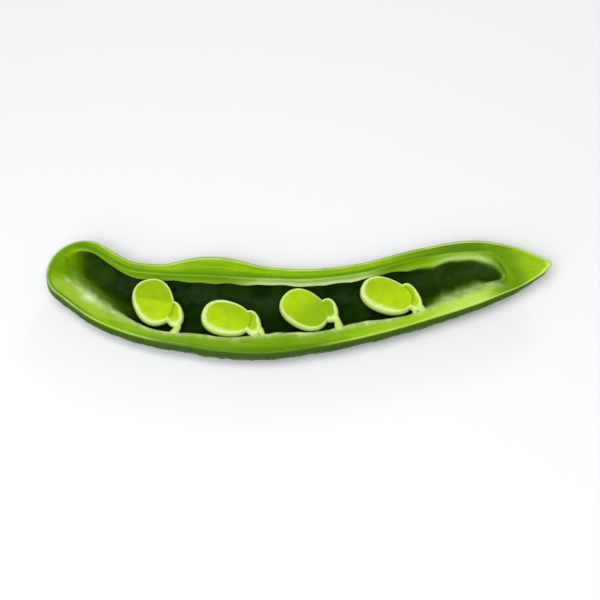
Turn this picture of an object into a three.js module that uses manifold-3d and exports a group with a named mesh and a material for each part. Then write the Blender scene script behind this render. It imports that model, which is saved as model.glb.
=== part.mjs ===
// One half of an Indian flat bean pod. A knife has slit the pod lengthwise between its two flat sides,
// and this half lies on its back with the hollow side up. Four seeds, slit by the same cut, lie in the
// hollow, each on the short stalk that ties it to the seed-bearing edge.
//
// Millimetres. X runs from the round stalk end to the pointed tip. +Y is the side of the pod's inner
// curve, and the seed-bearing edge is on -Y. +Z is up. The origin is on the table, in the flat spot
// that the pod's back rests on.
import * as THREE from 'three';
import { mergeVertices } from 'three/addons/utils/BufferGeometryUtils.js';
import Module from 'manifold-3d';

const wasm = await Module();
wasm.setup();

// The knife's plane over the table, and the thickness of the pod's wall below the hollow.
const cutHeight = 6.9;
const wall = 1.35;

// The pod from its stalk end to its tip: the middle of each section, half its width, its depth below
// the cut, and the width of the flesh that the cut shows on the inner and on the seed-bearing edge.
const stations = [
  { x: -43.8, y: 8.1, half: 6.9, depth: 4.7, fleshInner: 2.1, fleshSeeds: 3.9 },
  { x: -36.3, y: 3.0, half: 7.5, depth: 5.6, fleshInner: 2.2, fleshSeeds: 4.0 },
  { x: -27.4, y: 0.7, half: 8.7, depth: 6.2, fleshInner: 2.4, fleshSeeds: 4.0 },
  { x: -18.0, y: 0.6, half: 10.4, depth: 6.7, fleshInner: 4.5, fleshSeeds: 4.3 },
  { x: -8.0, y: -0.95, half: 9.75, depth: 6.9, fleshInner: 2.9, fleshSeeds: 5.2 },
  { x: 3.0, y: -0.5, half: 8.7, depth: 6.7, fleshInner: 2.4, fleshSeeds: 4.9 },
  { x: 14.0, y: 1.6, half: 8.1, depth: 6.2, fleshInner: 2.3, fleshSeeds: 4.1 },
  { x: 25.0, y: 5.0, half: 7.9, depth: 5.6, fleshInner: 2.2, fleshSeeds: 3.4 },
  { x: 34.9, y: 7.8, half: 7.1, depth: 4.9, fleshInner: 2.5, fleshSeeds: 3.4 },
  { x: 42.4, y: 8.7, half: 4.9, depth: 3.7, fleshInner: 2.5, fleshSeeds: 3.0 },
  { x: 47.0, y: 9.1, half: 2.6, depth: 2.2, fleshInner: 2.0, fleshSeeds: 2.2 },
  { x: 49.2, y: 9.5, half: 1.0, depth: 1.0, fleshInner: 1.0, fleshSeeds: 1.0 },
];
const last = stations.length - 1;

// How far the pod's round stalk end and its small blunt tip reach past the first and the last station,
// and how full and how slanted the tip's end is, seen from above. The same for the hollow, which starts
// and stops at a place between stations.
const podEnds = {
  from: 0, to: last, startReach: 6.2, endReach: 0.8, endFullness: 2, endSlant: 0,
};
const hollowEnds = {
  from: 0.1, to: 8.25, startReach: 4.9, endReach: 3.4, endFullness: 4, endSlant: 0.36,
};
const slantFrom = 0.8; // the share of the way along where the slant sets in

// How full a section is: 2 is an ellipse, and more is boxier. The pod is widest a little under the
// cut, by this share of its depth, and its back is deepest this far toward the inner curve. The floor
// of the hollow climbs to its ends by this power.
const podFullness = 3;
const hollowFullness = 2.4;
const widestBelow = 0.17;
const lean = 0.9;
const hollowClimb = 1.5;

// Each edge of the pod has a raised margin under the cut, with a groove between it and the flat side.
const margin = { depth: 2.0, spread: 1.1, height: 0.45 };
const groove = { depth: 4.2, spread: 0.6, height: -0.25 };

// The pod's flat side swells over each seed, and the hollow is wider beside it.
const swell = { height: 0.45, spread: 3.6 };
const pocket = { width: 1.1, spread: 4.2, shift: 2.0 };

// Each slit seed: the middle of its cut face, half its length and width, and the turn of its length
// from +X in degrees. The cap is the knob that the stalk grows from, and the foot is where it ends.
const seeds = [
  {
    x: -28.8, y: 1.2, long: 5.1, wide: 3.9, turn: -72,
    cap: { x: -24.7, y: -1.6, long: 2.7, wide: 1.7, turn: -77 },
    foot: { x: -25.3, y: -6.4 },
  },
  {
    x: -14.4, y: -2.5, long: 4.9, wide: 3.6, turn: -16,
    cap: { x: -9.4, y: -3.6, long: 2.7, wide: 1.6, turn: -75 },
    foot: { x: -7.4, y: -8.0 },
  },
  {
    x: 0.9, y: -0.6, long: 5.1, wide: 3.8, turn: -38,
    cap: { x: 5.7, y: -0.7, long: 2.5, wide: 1.6, turn: -75 },
    foot: { x: 7.7, y: -6.2 },
  },
  {
    x: 17.1, y: 2.6, long: 5.3, wide: 3.6, turn: -25,
    cap: { x: 21.9, y: 2.2, long: 3.2, wide: 1.6, turn: -65 },
    foot: { x: 24.2, y: -3.2 },
  },
];
const seedDepth = 4.0;
const seedFullness = 2.3;
const capDepth = 2.4;
const seedDrop = 0.3; // the seeds' cut faces are this far under the pod's
const coatWidth = 0.6; // the pale coat that rings the kernel on a seed's cut face
const kernelDrop = 0.25; // the kernel's face is this far under its coat
const stalk = { top: 0.5, bottom: 1.0, from: -1.0, to: -2.2 };
const clearance = 0.3; // left between the seeds and the wall of the hollow

// How finely the surfaces are divided: rings along, and faces round.
const podDivisions = { along: 84, round: 60, startRings: 9, endRings: 3 };
const hollowDivisions = { along: 64, round: 36, startRings: 7, endRings: 8 };
const seedDivisions = { along: 14, round: 24 };

const middles = new THREE.CatmullRomCurve3(
  stations.map((s) => new THREE.Vector3(s.x, s.y, 0)), false, 'catmullrom');
const girths = new THREE.CatmullRomCurve3(
  stations.map((s) => new THREE.Vector3(s.half, s.depth, 0)), false, 'catmullrom');
const fleshes = new THREE.CatmullRomCurve3(
  stations.map((s) => new THREE.Vector3(s.fleshInner, s.fleshSeeds, 0)), false, 'catmullrom');

// The pod's section at a place along it, counted in stations.
function sectionAt(place) {
  const t = place / last;
  const middle = middles.getPoint(t);
  const along = middles.getTangent(t);
  const girth = girths.getPoint(t);
  const flesh = fleshes.getPoint(t);
  return {
    middle,
    along,
    across: new THREE.Vector3(-along.y, along.x, 0),
    half: girth.x,
    depth: girth.y,
    fleshInner: flesh.x,
    fleshSeeds: flesh.y,
  };
}

// A number raised to a power, with its sign kept.
function signedPower(value, power) {
  return Math.sign(value) * Math.abs(value) ** power;
}

function bump(distance, spread) {
  return Math.exp(-(distance * distance) / (2 * spread * spread));
}

// A closed body drawn out along the pod, from a ball whose poles become the body's two ends. The form
// gives its ends, its divisions, its fullness and its size at a section of the pod, and may give a
// relief that moves the finished points.
function bodyAlongPod(form) {
  const ball = new THREE.SphereGeometry(1, form.divisions.round, form.divisions.along);
  ball.deleteAttribute('normal');
  ball.deleteAttribute('uv');
  const geometry = mergeVertices(ball, 1e-4);
  const points = geometry.attributes.position;
  const point = new THREE.Vector3();
  for (let i = 0; i < points.count; i += 1) {
    point.fromBufferAttribute(points, i);
    const fall = Math.acos(THREE.MathUtils.clamp(point.y, -1, 1)) / Math.PI;
    const turn = Math.atan2(point.z, point.x);
    points.setXYZ(i, ...bodyPoint(form, fall * form.divisions.along, turn));
  }
  return geometry;
}

// One point of such a body, at a ring along it and a turn round its section.
function bodyPoint(form, ring, turn) {
  const { ends, divisions, fullness } = form;
  const startTurn = Math.min(ring / divisions.startRings, 1) * (Math.PI / 2);
  const endTurn = Math.min((divisions.along - ring) / divisions.endRings, 1) * (Math.PI / 2);
  const between = divisions.along - divisions.endRings - divisions.startRings;
  const share = THREE.MathUtils.clamp((ring - divisions.startRings) / between, 0, 1);
  const section = sectionAt(ends.from + (ends.to - ends.from) * share);
  const { offset, half, middle, thick } = form.size(section);
  const closing = Math.sin(startTurn) * Math.sin(endTurn);
  const endPower = 2 / ends.endFullness;
  const narrowing = Math.sin(startTurn) * Math.sin(endTurn) ** endPower;
  const reach = ends.endReach * Math.abs(Math.cos(endTurn)) ** endPower
    - ends.startReach * Math.cos(startTurn);

  // The faces are closer together near the cut, where the margin is.
  const eased = turn - 0.25 * Math.sin(2 * turn);
  const across = signedPower(Math.cos(eased), 2 / fullness);
  const up = signedPower(Math.sin(eased), 2 / fullness);
  const outward = new THREE.Vector2(
    signedPower(Math.cos(eased), 2 - 2 / fullness) / half,
    signedPower(Math.sin(eased), 2 - 2 / fullness) / thick).normalize();
  const aside = half * narrowing * across;
  const slant = ends.endSlant * THREE.MathUtils.smoothstep(share, slantFrom, 1);
  const place = section.middle.clone()
    .addScaledVector(section.along, reach - slant * aside)
    .addScaledVector(section.across, offset + aside);
  place.addScaledVector(section.across, form.lean * closing * Math.min(up, 0) ** 2);
  place.z = middle + thick * closing ** form.climb * up;
  if (form.relief) form.relief(place, section, outward, closing);
  return place.toArray();
}

// The pod's skin: the margin and its groove along both edges, and a swelling over each seed.
function skinRelief(place, section, outward, closing) {
  const below = -place.z;
  const side = Math.abs(outward.x) * closing * THREE.MathUtils.clamp(section.depth / 4, 0, 1);
  const raised = margin.height * bump(below - margin.depth, margin.spread)
    + groove.height * bump(below - groove.depth, groove.spread);
  place.addScaledVector(section.across, raised * outward.x * side);
  place.z += raised * outward.y * side;
  if (outward.y < 0) {
    for (const seed of seeds) {
      const distance = Math.hypot(place.x - seed.x, place.y - seed.y);
      place.z += swell.height * bump(distance, swell.spread) * outward.y;
    }
  }
}

// A closed geometry as a solid that can be joined and cut, and back.
function solidOf(geometry) {
  const bare = geometry.clone();
  bare.deleteAttribute('normal');
  bare.deleteAttribute('uv');
  const merged = mergeVertices(bare, 1e-4);
  return new wasm.Manifold(new wasm.Mesh({
    numProp: 3,
    vertProperties: merged.attributes.position.array,
    triVerts: merged.index.array,
  }));
}

function geometryOf(solid) {
  const mesh = solid.getMesh();
  const geometry = new THREE.BufferGeometry();
  geometry.setAttribute('position', new THREE.BufferAttribute(mesh.vertProperties, 3));
  geometry.setIndex(new THREE.BufferAttribute(mesh.triVerts, 1));
  return geometry;
}

// A slab that holds all that lies between two heights.
function slab(low, high) {
  const box = new THREE.BoxGeometry(140, 80, high - low);
  box.translate(0, 0, (low + high) / 2);
  return solidOf(box);
}

// The width of the flesh on the seed-bearing edge, less where a seed has its pocket.
function fleshBesideSeeds(section) {
  let flesh = section.fleshSeeds;
  for (const seed of seeds) {
    flesh -= pocket.width * bump(section.middle.x - seed.x - pocket.shift, pocket.spread);
  }
  return flesh;
}

// The hollow, drawn in on all sides by a gap.
function hollowBody(gap) {
  const size = (section) => {
    const flesh = fleshBesideSeeds(section);
    return {
      offset: (flesh - section.fleshInner) / 2,
      half: section.half - (flesh + section.fleshInner) / 2 - gap,
      middle: 0,
      thick: section.depth - wall - gap,
    };
  };
  const ends = {
    ...hollowEnds,
    startReach: hollowEnds.startReach - gap,
    endReach: hollowEnds.endReach - gap,
  };
  return solidOf(bodyAlongPod({
    ends,
    size,
    divisions: hollowDivisions,
    fullness: hollowFullness,
    climb: hollowClimb,
    lean: 0,
  }));
}

// The half pod: the whole pod's shape below the cut, less the hollow, flat where it rests.
function podHalf() {
  const size = (section) => ({
    offset: 0,
    half: section.half,
    middle: -widestBelow * section.depth,
    thick: (1 - widestBelow) * section.depth,
  });
  const whole = solidOf(bodyAlongPod({
    ends: podEnds,
    size,
    divisions: podDivisions,
    fullness: podFullness,
    climb: 1,
    lean,
    relief: skinRelief,
  }));
  return geometryOf(whole.intersect(slab(-cutHeight, 0)).subtract(hollowBody(0)));
}

// A plump body round a point on the cut, as long, wide and deep as it says.
function plumpBody({ x, y, long, wide, turn }, depth) {
  const ball = new THREE.SphereGeometry(1, seedDivisions.round, seedDivisions.along);
  const points = ball.attributes.position;
  const point = new THREE.Vector3();
  const power = 2 / seedFullness;
  for (let i = 0; i < points.count; i += 1) {
    point.fromBufferAttribute(points, i);
    const flat = Math.hypot(point.x, point.y);
    const fuller = flat > 0 ? flat ** power / flat : 0;
    const up = signedPower(point.z, power);
    points.setXYZ(i, point.x * fuller * long, point.y * fuller * wide, up * depth);
  }
  ball.rotateZ(THREE.MathUtils.degToRad(turn));
  ball.translate(x, y, -seedDrop);
  return solidOf(ball);
}

// A round post from one point to another, wider at its foot.
function taperedPost(top, foot) {
  const run = new THREE.Vector3().subVectors(top, foot);
  const post = new THREE.CylinderGeometry(stalk.top, stalk.bottom, run.length(), 12);
  post.applyQuaternion(
    new THREE.Quaternion().setFromUnitVectors(new THREE.Vector3(0, 1, 0), run.clone().normalize()));
  post.translate((top.x + foot.x) / 2, (top.y + foot.y) / 2, (top.z + foot.z) / 2);
  return solidOf(post);
}

// One slit seed: its body, the knob at its end and the stalk, cut by the knife, with the kernel's face
// sunk inside the ring of its coat, and held off the wall of the hollow by the clearance.
function slitSeed(seed) {
  const body = plumpBody(seed, seedDepth);
  const cap = plumpBody(seed.cap, capDepth);
  const top = new THREE.Vector3(seed.cap.x, seed.cap.y, stalk.from);
  const foot = new THREE.Vector3(seed.foot.x, seed.foot.y, stalk.to);
  const kernel = new THREE.CylinderGeometry(1, 1, 2 * kernelDrop, 32);
  kernel.rotateX(Math.PI / 2);
  kernel.scale(seed.long - coatWidth, seed.wide - coatWidth, 1);
  kernel.rotateZ(THREE.MathUtils.degToRad(seed.turn));
  kernel.translate(seed.x, seed.y, -seedDrop);
  const whole = body.add(cap).add(taperedPost(top, foot));
  const cut = whole.intersect(slab(-cutHeight, -seedDrop)).subtract(solidOf(kernel));
  return geometryOf(cut.intersect(hollowBody(clearance)));
}

const fleshFinish = new THREE.MeshStandardMaterial({ color: 0x5f9a16, roughness: 0.45, metalness: 0 });
const seedFinish = new THREE.MeshStandardMaterial({ color: 0xb7d832, roughness: 0.4, metalness: 0 });

const pod = new THREE.Group();
pod.position.z = cutHeight;

const shell = new THREE.Mesh(podHalf(), fleshFinish);
shell.name = 'pod_half';
pod.add(shell);

seeds.forEach((seed, i) => {
  const mesh = new THREE.Mesh(slitSeed(seed), seedFinish);
  mesh.name = `seed_${i + 1}`;
  pod.add(mesh);
});

export default pod;
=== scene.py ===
"""One half of an Indian flat bean pod, slit lengthwise, with its four slit seeds.

The half lies on its back with the hollow side up. +X runs to the pointed tip, +Y is the side of the
inner curve, the seed-bearing edge is on -Y, and the table is at z = 0. Shapes are worked out in
millimetres over the knife's plane, from the values that the solid model has, and end up in metres.
"""

import math
from types import SimpleNamespace

import bpy
import numpy as np
from mathutils import Color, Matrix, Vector


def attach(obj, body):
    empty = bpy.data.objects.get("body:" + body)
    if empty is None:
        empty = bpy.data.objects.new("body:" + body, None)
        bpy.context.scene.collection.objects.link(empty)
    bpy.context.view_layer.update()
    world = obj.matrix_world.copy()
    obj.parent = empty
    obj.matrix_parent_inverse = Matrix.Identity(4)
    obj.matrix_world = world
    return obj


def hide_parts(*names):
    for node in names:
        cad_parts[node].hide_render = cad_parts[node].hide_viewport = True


bl_info = {
    "name": "Slit flat bean pod",
    "version": (1, 0, 0),
    "blender": (4, 5, 0),
    "location": "3D View > Sidebar > Bean",
    "description": "Builds half of a flat bean pod with its slit seeds, and a plain stage for it",
    "category": "Add Mesh",
}

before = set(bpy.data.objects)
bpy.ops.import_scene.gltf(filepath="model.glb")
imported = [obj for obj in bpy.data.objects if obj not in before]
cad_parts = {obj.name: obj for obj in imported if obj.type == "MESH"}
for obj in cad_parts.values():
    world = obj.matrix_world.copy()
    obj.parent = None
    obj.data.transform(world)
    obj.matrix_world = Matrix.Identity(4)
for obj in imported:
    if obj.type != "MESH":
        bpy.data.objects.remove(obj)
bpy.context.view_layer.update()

MM = 0.001

# The pod at places along it: the middle of the section, half its width, its depth under the cut,
# and the width of the flesh that the cut shows on the inner edge and on the seed-bearing edge.
STATIONS = np.array(
    [
        (-43.8, 8.1, 6.9, 4.7, 2.1, 3.9),
        (-36.3, 3.0, 7.5, 5.6, 2.2, 4.0),
        (-27.4, 0.7, 8.7, 6.2, 2.4, 4.0),
        (-18.0, 0.6, 10.4, 6.7, 4.5, 4.3),
        (-8.0, -0.95, 9.75, 6.9, 2.9, 5.2),
        (3.0, -0.5, 8.7, 6.7, 2.4, 4.9),
        (14.0, 1.6, 8.1, 6.2, 2.3, 4.1),
        (25.0, 5.0, 7.9, 5.6, 2.2, 3.4),
        (34.9, 7.8, 7.1, 4.9, 2.5, 3.4),
        (42.4, 8.7, 4.9, 3.7, 2.5, 3.0),
        (47.0, 9.1, 2.6, 2.2, 2.0, 2.2),
        (49.2, 9.5, 1.0, 1.0, 1.0, 1.0),
    ]
)
TIP_STATION = len(STATIONS) - 1

# Where the pod and its hollow start and stop, in stations, how far their ends reach on, and how
# full and how slanted the hollow's end at the tip is, seen from above.
POD_REACH = (6.2, 0.8)
HOLLOW_PLACES = (0.1, 8.25)
HOLLOW_REACH = (4.9, 3.4)
HOLLOW_END_FULLNESS = 4.0
HOLLOW_END_SLANT = 0.36

# How full a section is: 2 is an ellipse and more is boxier. The hollow has one for each side, and
# its seed-bearing side slopes more gently toward its two ends. Its floor climbs to each end by a
# power. The pod is widest at a share of its depth under the cut, and leans toward +Y below.
POD_FULLNESS = 3.0
HOLLOW_FULLNESS = SimpleNamespace(inner=2.5, arch=1.8, seeds=2.1, stalk_end=1.3, tip_end=1.6)
HOLLOW_CLIMB = (2.0, 0.6)
WIDEST_BELOW = 0.17
LEAN = 0.9

# Between which places along the pod its shape turns into that of its stalk end and of its tip, and
# where the lining starts at the stalk end.
STALK_END = (-29, -38)
TIP_END = (19, 28)
LINING_START = (-47.4, -42.4)

# The ledge where the lining starts rises to the stalk end. Toward the tip it sinks, rises and sinks
# again, each time between two places and by a share. Past the arch's end the inner side's wall
# reaches further down the floor. The torn tissue stops before both ends of the hollow.
LEDGE_RISE = (-43, -30)
LEDGE_TURNS = ((18, 24, 0.1), (26, 30.5, -0.28), (32, 38, 0.35))
ARCH_END = (34, 39)
TORN_START = (-46.0, -43.5)
TORN_STOP = (41.0, 37.0)

# Uneven lines, as sine waves given by their pace and start.
WAVES = SimpleNamespace(
    ledge=((0.3, 0.4), (0.62, 1.1), (1.15, 2.0)),
    lining=((0.83, 0.3), (1.9, 1.2), (4.3, 2.2)),
    torn=((0.52, 0.7), (1.27, 1.9), (2.9, 0.2)),
    cut=((0.55, 0.2), (1.3, 1.7), (2.9, 0.6)),
)

# The hollow widens beside each seed, and the flat side swells over it.
POCKET = SimpleNamespace(width=1.1, spread=4.2, shift=2.0)
SWELL_SPREAD = 3.6
MARGIN_SPREAD = 1.1
GROOVE_SPREAD = 0.6

# Each slit seed: the middle of its cut face, half its length and width, and its turn from +X in
# degrees, the same for the cap, which is the knob at its end, and how much blunter one end is. The
# coat has its least and its most width, and the heading where it is widest. The shade darkens the
# kernel past a line: its heading, how far out it is, how soft and how strong. Each stalk runs
# through points over the plan and under the cut, with its thickness there.
SEEDS = (
    SimpleNamespace(
        face=(-28.8, 1.2, 5.1, 3.9, -72.0),
        cap=(-24.7, -1.6, 2.7, 1.7, -77.0),
        blunt=0.05,
        coat=(0.38, 0.78, 235.0),
        shade=(80.0, 0.0, 0.35, 0.6),
        stalks=(((-24.0, -3.4, -0.9, 0.7), (-23.7, -4.6, -0.7, 0.6), (-25.6, -6.9, -1.4, 1.1)),),
    ),
    SimpleNamespace(
        face=(-14.4, -2.5, 4.9, 3.6, -16.0),
        cap=(-9.4, -3.6, 2.7, 1.6, -75.0),
        blunt=0.06,
        coat=(0.42, 0.95, 200.0),
        shade=(60.0, 0.6, 1.6, 0.35),
        stalks=(
            ((-8.4, -4.0, -0.8, 0.5), (-7.4, -5.2, -0.6, 0.4), (-7.1, -7.6, -1.2, 0.8)),
            ((-9.4, -5.2, -0.9, 0.45), (-9.2, -6.0, -0.8, 0.35), (-9.0, -7.6, -1.2, 0.7)),
        ),
    ),
    SimpleNamespace(
        face=(0.9, -0.6, 5.1, 3.8, -38.0),
        cap=(5.7, -0.7, 2.5, 1.6, -75.0),
        blunt=0.05,
        coat=(0.25, 0.5, 200.0),
        shade=(310.0, -0.4, 2.6, 0.8),
        stalks=(((6.9, -1.6, -0.8, 0.45), (7.3, -3.0, -0.6, 0.6), (8.0, -5.9, -1.3, 1.3)),),
    ),
    SimpleNamespace(
        face=(17.1, 2.6, 5.3, 3.6, -25.0),
        cap=(21.9, 2.2, 3.2, 1.6, -65.0),
        blunt=0.05,
        coat=(0.3, 1.05, 220.0),
        shade=(110.0, 0.8, 2.0, 0.35),
        stalks=(
            ((22.9, 1.0, -0.8, 0.5), (23.7, 0.2, -0.6, 0.55), (24.8, -2.0, -1.3, 1.1)),
            ((22.4, 0.0, -0.8, 0.4), (22.5, -0.7, -0.7, 0.4), (22.7, -2.4, -1.3, 0.8)),
        ),
    ),
)

# The coat of every cap, given in the same way.
CAP_COAT = (0.45, 0.85, 330.0)

# A slit face: how full its outline is, how its rim rounds, the groove inside its coat with its
# spread, and how far round the joint with its neighbour reaches, with the coat's width there.
SLIT_FACE = SimpleNamespace(
    fullness=2.25, rounding=0.32, groove=0.07, groove_spread=0.1, joint=0.45, joint_coat=0.12
)

# How finely the pod's skin is divided: columns along it, and points round each column's loop. The
# materials read these marks at each point.
COLUMNS = 352
END_SHARES = SimpleNamespace(start=0.1, hollow_end=0.875, tip=0.972)
FLOOR_POINTS = 40
RIM_POINTS = 9
CUT_POINTS = 9
EDGE_POINTS = 4
SKIN_POINTS = 104
MARKS = ("flesh_across", "cut_face", "skin_side", "inner_side", "lining", "pale_edge")

# Stands in for nothing where a length divides another value.
TINY = 1e-9

# A usual section, on which the skin's points lie evenly, and how they crowd at its two ends. How
# far the wall's points crowd round the ledge, and how strongly.
USUAL_SECTION = (8.4, 5.2)
SKIN_CROWDING = 0.35
LEDGE_CROWDING = (0.025, 3.0)

# The skin's soft reliefs: the size of their cells and their height, in metres.
PEBBLE_CELLS = 0.0011
SKIN_SWELLS = (0.0042, 0.0004)
SKIN_GRAIN = (0.0009, 0.00012)
LINING_FOLDS = (0.0022, 0.00045)

# Where the pod's colours change, in metres along it, across it or over the table. A stretch comes
# in between its first two places and fades between the next two, and ends with its strength. The
# tip's root, the dark line and the pale tip lie across lines that slant as the hollow's end does.
STRETCHES = SimpleNamespace(
    # The belly's stretch is painted shade, where the belly turns away from the light.
    belly_shade=(-0.034, -0.026, 0.002, 0.012, 1.0),
    arch=(0.016, 0.03, 0.036, 0.0395, 0.9),
    tip_root=(0.0365, 0.0385, 0.0415, 0.0452, 0.7),
    pale_end=(0.008, 0.026, 0.035, 0.0385, 0.7),
    mint=(0.022, 0.032, 0.036, 0.0395, 0.6),
    dark_line=(-0.046, -0.04, 0.0355, 0.0385, 1.0),
    # The inner wall is pale, and its ledge brighter, in the middle and near the tip: partly the
    # wall's paler tissue, partly a painted highlight.
    pale_highlit_middle=(-0.015, -0.006, 0.012, 0.018, 0.95),
    pale_highlit_tip=(0.024, 0.031, 0.0365, 0.041, 0.5),
    speck_height=(0.0005, 0.0036, 0.0048, 0.0062, 0.7),
)

# A colour turns into another from the first place to the second. Two shares follow where the turn
# isn't from none to all of it.
PLACES = SimpleNamespace(
    # Painted shade: the flesh and the wall darken round the stalk end, where the lobe slopes away
    # from the light.
    stalk_end=(-0.037, -0.043, 0.0, 0.6),
    # The lining is paler toward both ends of the hollow, most on the seed-bearing side: painted
    # light on its lit floor, against painted shade in its middle.
    lit_stalk_floor=(-0.03, -0.045),
    lit_tip_floor=(0.02, 0.036),
    pale_tip=(0.043, 0.048, 0.0, 0.3),
    # The lobe and its side place a painted highlight on the lobe's seed-bearing slope, which also
    # gets a moist coat there.
    lobe=(-0.036, -0.041),
    lobe_side=(0.0085, 0.0045),
    near_cut=(0.0046, 0.0067),
    coat_side=(0.0064, 0.0054, 0.0, 0.5),
)
# A painted highlight: a pale spot on the lobe's inner slope, with its middle and the distances over
# which it fades.
LOBE_HIGHLIGHT_PATCH = SimpleNamespace(place=(-0.0415, 0.0019, 0.0058), reach=(0.0027, 0.0006))
SLANT_SHIFT = 0.0031
FIBRE_STRETCH = (0.09, 1.0, 1.0)

# The stage: what the camera looks at, its lens, and the lights' places and sizes.
STAGE_TARGET = (0.0, 0.0030, 0.0035)
LENS = 100.0
FLOOR_SIZE = 4.0
LIGHTS = {
    "top": ((-0.06, -0.20, 0.49), 0.34),
    "back": ((0.14, 0.44, 0.22), 0.12),
    "front": ((-0.20, -0.42, 0.40), 0.36),
}


def rgb(red, green, blue):
    """A colour given in the 0 to 255 of a screen, as the linear light that shaders take."""
    shares = (red / 255, green / 255, blue / 255)
    return tuple(s / 12.92 if s <= 0.04045 else ((s + 0.055) / 1.055) ** 2.4 for s in shares)


def colour_property(name, description, default):
    return bpy.props.FloatVectorProperty(
        name=name, description=description, default=default, subtype="COLOR", min=0.0, max=1.0
    )


def length_property(name, description, default):
    return bpy.props.FloatProperty(
        name=name, description=description, default=default, unit="LENGTH", min=0.0, precision=5
    )


def number_property(name, description, default):
    return bpy.props.FloatProperty(name=name, description=description, default=default, min=0.0)


class PodSizes(bpy.types.PropertyGroup):
    cut_height: length_property("Cut height", "Height of the knife's plane over the table", 0.0069)
    wall: length_property("Wall", "Thickness of the pod under its hollow", 0.00135)
    inner_rim: length_property("Inner rim", "Rounding of the hollow's rim, inner curve", 0.0004)
    seed_rim: length_property("Seed rim", "Rounding of the hollow's rim, seed-bearing edge", 0.0017)
    end_rim: length_property("End rim", "Rounding of the hollow's rim at its two ends", 0.0006)
    outer_rim: length_property("Outer rim", "Rounding where the cut meets the skin", 0.00022)
    inner_dome: length_property("Inner doming", "Crown of the cut flesh, inner curve", 0.00012)
    seed_dome: length_property("Seed doming", "Crown of the cut flesh, seed-bearing edge", 0.0004)
    margin_depth: length_property("Margin depth", "The raised margin's place under the cut", 0.0020)
    margin_height: length_property("Margin height", "How far the margin stands out", 0.00045)
    groove_depth: length_property("Groove depth", "The groove's place under the cut", 0.0042)
    groove_height: length_property("Groove height", "How deep the groove is", 0.00025)
    swell_height: length_property("Swelling", "How far the flat side swells over a seed", 0.00045)
    ledge_depth: length_property("Ledge depth", "Where the lining starts, under the cut", 0.0021)
    ledge_step: length_property("Ledge step", "How far the lining lies behind the flesh", 0.0003)
    pebble_height: length_property("Pebbles", "Height of the pebbles on the margins", 0.0002)


class PodColours(bpy.types.PropertyGroup):
    flesh: colour_property("Flesh", "The cut flesh", rgb(132, 180, 4))
    flesh_deep: colour_property("Deep flesh", "Darker streaks of the cut flesh", rgb(80, 124, 2))
    # Pale flesh also paints the highlight on the lobe.
    flesh_pale: colour_property("Pale flesh", "Pale streaks of the cut flesh", rgb(172, 208, 40))
    # The flesh edge's colour also paints the highlight along the cut's outer edge.
    flesh_edge: colour_property("Flesh edge", "The cut's edge along the skin", rgb(196, 226, 104))
    # The inner wall's colour shows in the middle and near the tip: partly paler tissue, partly a
    # painted highlight.
    inner_wall: colour_property("Inner wall", "The wall above the lining", rgb(190, 230, 108))
    ledge: colour_property("Ledge", "The pale edge where the lining starts", rgb(226, 246, 176))
    # Near black: partly the lining's own deep green, partly painted shade of the deep hollow.
    lining: colour_property("Lining", "The hollow's dark lining", rgb(10, 35, 0))
    # Pale lining is painted light on the lit floor at the hollow's ends.
    lining_pale: colour_property("Pale lining", "The lining at both ends", rgb(100, 142, 26))
    skin: colour_property("Skin", "The pod's flat outer side", rgb(26, 54, 6))
    skin_speck: colour_property("Skin specks", "Pebble tops and pale patches", rgb(76, 116, 34))
    skin_edge: colour_property("Skin edge", "The skin just under the cut", rgb(60, 92, 2))


class SeedSizes(bpy.types.PropertyGroup):
    drop: length_property("Drop", "How far the seeds' faces lie under the cut", 0.0003)
    depth: length_property("Depth", "A seed's thickness under its cut face", 0.0038)
    cap_depth: length_property("Cap depth", "The cap's thickness under its cut face", 0.0024)
    coat_rise: length_property("Coat rise", "How far the coat stands over the kernel", 0.00016)
    dome: length_property("Dome", "Crown of the kernel's face", 0.0003)
    grain: length_property("Grain", "Size of the mesh's cells", 0.00009)


class SeedColours(bpy.types.PropertyGroup):
    kernel: colour_property("Kernel", "The kernel's cut face", rgb(174, 208, 6))
    kernel_deep: colour_property("Deep kernel", "The kernel's shaded part", rgb(126, 166, 6))
    coat: colour_property("Coat", "The pale coat round the kernel", rgb(209, 228, 142))
    stalk: colour_property("Stalk", "The stalk that ties a seed to the pod", rgb(196, 220, 112))


class StageLook(bpy.types.PropertyGroup):
    floor: colour_property("Floor", "The plain floor", (0.86, 0.87, 0.88))
    surroundings: number_property("Surroundings", "Light from the room", 0.24)
    top_power: number_property("Top light", "Power of the soft light overhead", 2.5)
    back_power: number_property("Back light", "Power of the light over the back", 0.38)
    front_power: number_property("Front light", "Power of the light in front", 0.8)
    distance: length_property("Distance", "The camera's distance from the pod", 0.331)
    elevation: bpy.props.FloatProperty(
        name="Elevation",
        description="The camera's angle over the table",
        default=math.radians(60),
        subtype="ANGLE",
    )


# Shape helpers, in millimetres


def signed_power(value, power):
    return np.sign(value) * np.abs(value) ** power


def bump(distance, spread):
    return np.exp(-(distance**2) / (2 * spread**2))


def smooth(low, high, value):
    """0 below low, 1 above high, and an even S between them."""
    share = np.clip((value - low) / (high - low), 0, 1)
    return share * share * (3 - 2 * share)


def wander(value, waves):
    """A fixed uneven line between about -1 and 1, from sine waves given as (pace, start)."""
    total = sum(np.sin(value * pace + start) for pace, start in waves)
    return total / len(waves)


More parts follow.
